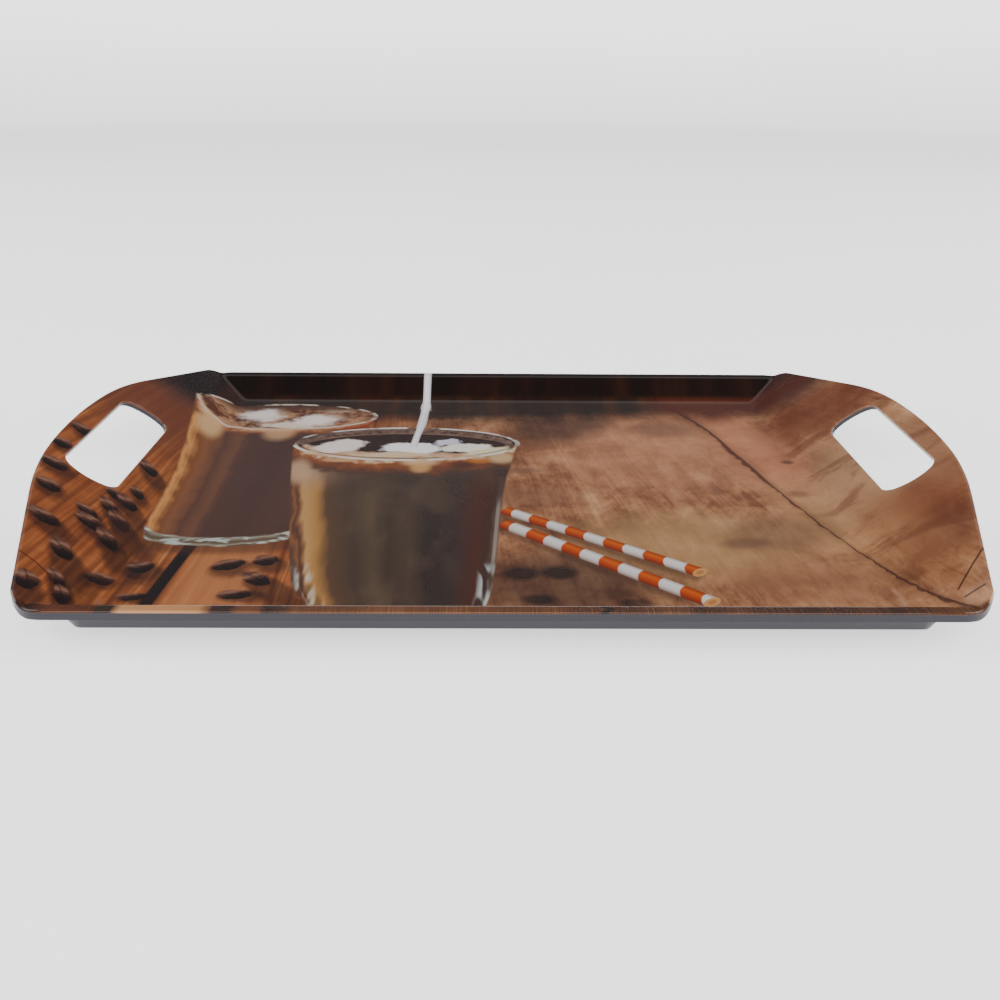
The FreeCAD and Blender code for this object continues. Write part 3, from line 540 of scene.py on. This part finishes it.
def rims(art, base, u, v, y, on_wall):
    """Where the sheet is drawn over the long rims its picture is pulled out into streaks."""
    line = art.lines(u, 0.9, detail=3.0, rough=0.7)
    broad = art.noise(18.0, 300.0)
    near = art.ramp(line * 0.6 + broad * 0.4, 0.3, 0.7, [
        (0.3, (44, 26, 18)), (0.42, (88, 54, 34)), (0.5, (124, 80, 50)), (0.6, (150, 100, 64)),
        (0.7, (188, 140, 100))])
    bands = art.ramp(u, -250, 262, [
        (-250, (44, 22, 16)), (-212, (40, 20, 14)), (-200, (96, 52, 30)), (-180, (84, 44, 26)),
        (-178, (22, 14, 12)), (-171, (24, 16, 14)), (-169, (206, 158, 116)), (-134, (196, 146, 104)),
        (-128, (40, 24, 20)), (-120, (44, 26, 20)), (-117, (116, 74, 50)), (-108, (110, 70, 46)),
        (-105, (34, 22, 18)), (-98, (60, 38, 28)), (-92, (104, 68, 44)), (0, (92, 58, 38)),
        (50, (66, 42, 32)), (110, (60, 38, 28)), (180, (52, 30, 22)), (262, (40, 22, 16))])
    near = art.mix(art.between(u, -250.0, -92.0, 2.0) * 0.2 + 0.65, near, bands)
    crossing = art.step(art.math("ABSOLUTE", u - 45.0 - art.math("SINE", v * 0.9) * 1.5), 2.4, 1.2)
    near = art.mix(crossing * 0.8, near, (20, 13, 12))
    edge = art.step(y, -177.0, -180.0)
    base = art.mix(art.math("MAXIMUM", art.step(y, -160.5, -163.5) * on_wall, edge), base, near)
    far = art.ramp(broad * 0.8 + line * 0.2, 0.3, 0.7, [
        (0.3, (19, 8, 4)), (0.5, (31, 13, 7)), (0.7, (48, 24, 13))])
    return art.mix(art.step(y, 161.0, 166.0) * on_wall * 0.95, base, far)


FOLDS = (
    # points along the line, colour, half width
    (((-234, -146), (-224, -148), (-214, -152), (-209, -161)), (84, 36, 22), 0.5),
    (((236, -141), (225, -150), (213, -161)), (52, 28, 22), 0.5),
    (((224, -167), (213, -168)), (44, 24, 20), 0.5),
    (((-212, 174), (-204, 154)), (16, 9, 8), 0.8),
    (((-192, 182), (-190, 171)), (10, 6, 6), 0.8),
    (((194, 183), (194, 172)), (16, 9, 8), 0.6),
)


def fold(art, base, u, v, colour, **where):
    """One straight piece of a thin line."""
    along, across = art.local(u, v, **where)
    mask = art.step(art.math("ABSOLUTE", across), 1.5, 0.5) * art.between(along, 0.0, 1.0, 0.03)
    return art.mix(mask * 0.85, base, colour)


def folds(art, base, u, v):
    """Thin lines where the flat sheet was folded to go into the four corners."""
    for points, colour, width in FOLDS:
        for start, end in zip(points, points[1:]):
            run = Vector(end) - Vector(start)
            base = art.run(fold, base=base, u=u, v=v, colour=linear(colour), **place(
                start, (run.length, width), math.degrees(math.atan2(run.y, run.x))))
    return base


# ---------------------------------------------------------------- materials
def new_material(name, settings):
    """A material, its node tree as an Art, and its shader with constant settings."""
    material = bpy.data.materials.new(name)
    material.use_nodes = True
    shader = material.node_tree.nodes["Principled BSDF"]
    for socket, value in settings.items():
        shader.inputs[socket].default_value = value
    return material, Art(material.node_tree), shader


# Last adjustments of the whole picture, and how far its glaze departs from flat, in metres
PICTURE_GAMMA, PICTURE_SATURATION = 1.12, 1.06
GLAZE_RIPPLE = 0.00008


def printed_material():
    """The printed picture under a clear, glossy glaze."""
    material, art, shader = new_material("printed_under_glaze", {
        "Roughness": 0.5, "Specular IOR Level": 0.05, "Coat Weight": 1.0, "Coat Roughness": 0.05,
        "Coat IOR": 1.5})
    u, v, y, on_wall = sheet_coordinates(art)
    mottle = art.noise(6.2, detail=4.0, rough=0.6)
    blur = art.noise(18.0)
    both = {"u": u, "v": v, "mottle": mottle, "blur": blur}
    picture = art.run(boards, u=u, v=v)
    picture = spots(art, picture, u, v, 0.55, WOOD_SPOTS)
    picture = art.run(cracks, wood=picture, u=u, v=v)
    picture = art.run(background, base=picture, u=u, v=v)
    for centre, size, turn in BEANS:
        picture = art.run(bean, base=picture, u=u, v=v, mottle=mottle, **place(centre, size, turn))
    picture = spots(art, picture, u, v, 0.4, BLURRED_BEANS)
    picture = straws(art, picture, u, v, STRAWS)
    picture = art.run(rear_glass, base=picture, **both)
    picture = art.run(rear_drink, base=picture, **both)
    picture = art.run(front_glass, base=picture, **both)
    picture = art.run(front_drink, base=picture, **both)
    picture = art.run(rims, base=picture, u=u, v=v, y=y, on_wall=on_wall)
    picture = art.run(milk, base=picture, u=u, v=v)
    picture = folds(art, picture, u, v)
    picture = art.out(art.node("ShaderNodeGamma", (picture, PICTURE_GAMMA)))
    picture = art.out(art.node("ShaderNodeHueSaturation", {
        "Saturation": PICTURE_SATURATION, "Color": picture}))
    art.links.new(picture.socket, shader.inputs["Base Color"])
    ripple = art.noise(20.0, detail=1.0)
    art.links.new(art.bump(ripple, GLAZE_RIPPLE).socket, shader.inputs["Coat Normal"])
    return material


MELAMINE_GRAIN = 0.00004  # metres


def melamine_material():
    """Grey moulded melamine, half matt, with slight clouds and a fine grain."""
    material, art, shader = new_material("grey_melamine", {
        "Specular IOR Level": 0.3, "Coat Weight": 0.05, "Coat Roughness": 0.15})
    cloud = art.noise(110.0, detail=4.0)
    speck = art.noise(1.1)
    tone = art.ramp(cloud * 0.7 + speck * 0.3, 0.3, 0.7, [
        (0.3, (43, 42, 48)), (0.5, (47, 46, 52)), (0.7, (51, 50, 56))])
    art.links.new(tone.socket, shader.inputs["Base Color"])
    art.links.new((cloud * 0.2 + 0.22).socket, shader.inputs["Roughness"])
    art.links.new(art.bump(art.noise(3.8), MELAMINE_GRAIN).socket, shader.inputs["Normal"])
    return material


# ---------------------------------------------------------------- scene
def paint(name, material):
    """Gives a node of the CAD model its material."""
    nodes[name].data.materials.clear()
    nodes[name].data.materials.append(material)


# The floor, in metres: flat as far as REACH, then a bend of radius BEND into a wall WALL_TOP high
CENTRE_RADIUS, REACH, BEND, WALL_TOP = 0.5, 4.0, 0.4, 0.5
TURNS, BEND_STEPS = 96, 14


def make_floor():
    """A pale, evenly lit sweep: a flat floor that curves up into a low wall all round."""
    profile = [(CENTRE_RADIUS, 0.0), (REACH, 0.0)]
    for step in range(1, BEND_STEPS + 1):
        angle = math.radians(90 * step / BEND_STEPS)
        profile.append((REACH + BEND * math.sin(angle), BEND - BEND * math.cos(angle)))
    profile.append((REACH + BEND, WALL_TOP))
    vertices = [(0.0, 0.0, 0.0)]
    faces = []
    for turn in range(TURNS):
        angle = 2 * math.pi * turn / TURNS
        vertices += [(r * math.cos(angle), r * math.sin(angle), z) for r, z in profile]
    count = len(profile)
    for turn in range(TURNS):
        here, there = 1 + turn * count, 1 + (turn + 1) % TURNS * count
        faces.append((0, here, there))
        faces += [(here + i, here + i + 1, there + i + 1, there + i) for i in range(count - 1)]
    mesh = bpy.data.meshes.new("studio_floor")
    mesh.from_pydata(vertices, [], faces)
    mesh.shade_smooth()
    floor = bpy.data.objects.new("studio_floor", mesh)
    bpy.context.scene.collection.objects.link(floor)
    material, art, shader = new_material("pale_floor", {
        "Roughness": 0.8, "Specular IOR Level": 0.1, "Emission Color": (1, 1, 1, 1),
        "Emission Strength": 1.2})
    tone = art.ramp(art.noise(800.0), 0.3, 0.7, [(0.3, (244, 244, 245)), (0.7, (250, 250, 250))])
    art.links.new(tone.socket, shader.inputs["Base Color"])
    floor.data.materials.append(material)


WHITE, COOL = (1.0, 1.0, 1.0), (0.95, 0.97, 1.0)
SOFTBOXES = (
    # name, place and size in metres, power in watts, colour
    ("back_softbox", (0.0, 1.7, 2.1), (3.6, 1.4), 8.0, WHITE),
    ("front_softbox", (0.0, -2.0, 2.4), (3.0, 1.2), 50.0, WHITE),
    ("left_softbox", (-2.2, 0.0, 1.5), (1.6, 2.4), 45.0, COOL),
    ("right_softbox", (2.2, 0.0, 1.5), (1.6, 2.4), 50.0, COOL),
)


def make_light(name, location, size, power, colour):
    """A rectangular area light that faces the middle of the tray's underside."""
    data = bpy.data.lights.new(name, "AREA")
    data.shape, data.size, data.size_y = "RECTANGLE", size[0], size[1]
    data.energy, data.color = power, colour
    light = bpy.data.objects.new(name, data)
    light.location = location
    aim = -Vector(location)
    light.rotation_euler = aim.to_track_quat("-Z", "Y").to_euler()
    bpy.context.scene.collection.objects.link(light)


DIM, PALE = 0.13, 1.1  # strength of the studio's dark parts, and what its pale parts have more


def make_world():
    """A dim studio: dark overhead and beyond the tray, paler low down on the other sides."""
    world = bpy.data.worlds.new("studio")
    bpy.context.scene.world = world
    world.use_nodes = True
    art = Art(world.node_tree)
    backdrop = art.nodes["Background"]
    backdrop.inputs["Color"].default_value = (0.93, 0.95, 1.0, 1)
    coordinate = art.out(art.node("ShaderNodeTexCoord"), "Generated")
    direction = art.node("ShaderNodeSeparateXYZ", (coordinate,))
    beyond, up = art.out(direction, "Y"), art.out(direction, "Z")
    pale = art.step(up, 0.42, 0.3) * art.step(beyond, 0.45, 0.1)
    art.links.new((pale * PALE + DIM).socket, backdrop.inputs["Strength"])


CAMERA_PLACE = (-0.007896, -0.578632, 0.241864)  # metres
YAW, PITCH_DOWN, ROLL = -0.013186, 0.405452, -0.009058  # radians
SENSOR_WIDTH, FOCAL_LENGTH = 36.0, 37.128  # millimetres


def make_camera():
    """A camera in front of the tray, a little left of its middle, looking down at 23 degrees."""
    data = bpy.data.cameras.new("camera")
    data.sensor_width, data.lens = SENSOR_WIDTH, FOCAL_LENGTH
    data.clip_start, data.clip_end = 0.01, 50.0
    camera = bpy.data.objects.new("camera", data)
    level = Matrix.Rotation(math.radians(90), 3, "X")
    aim = (Matrix.Rotation(YAW, 3, "Z") @ Matrix.Rotation(-PITCH_DOWN, 3, "X")
           @ Matrix.Rotation(ROLL, 3, "Y"))
    camera.matrix_world = Matrix.Translation(CAMERA_PLACE) @ (aim @ level).to_4x4()
    bpy.context.scene.collection.objects.link(camera)
    bpy.context.scene.camera = camera


printed = printed_material()
paint("glaze_coat", printed)
paint("print_foil", printed)
paint("tray_body", melamine_material())
make_floor()
make_world()
for softbox in SOFTBOXES:
    make_light(*softbox)
make_camera()
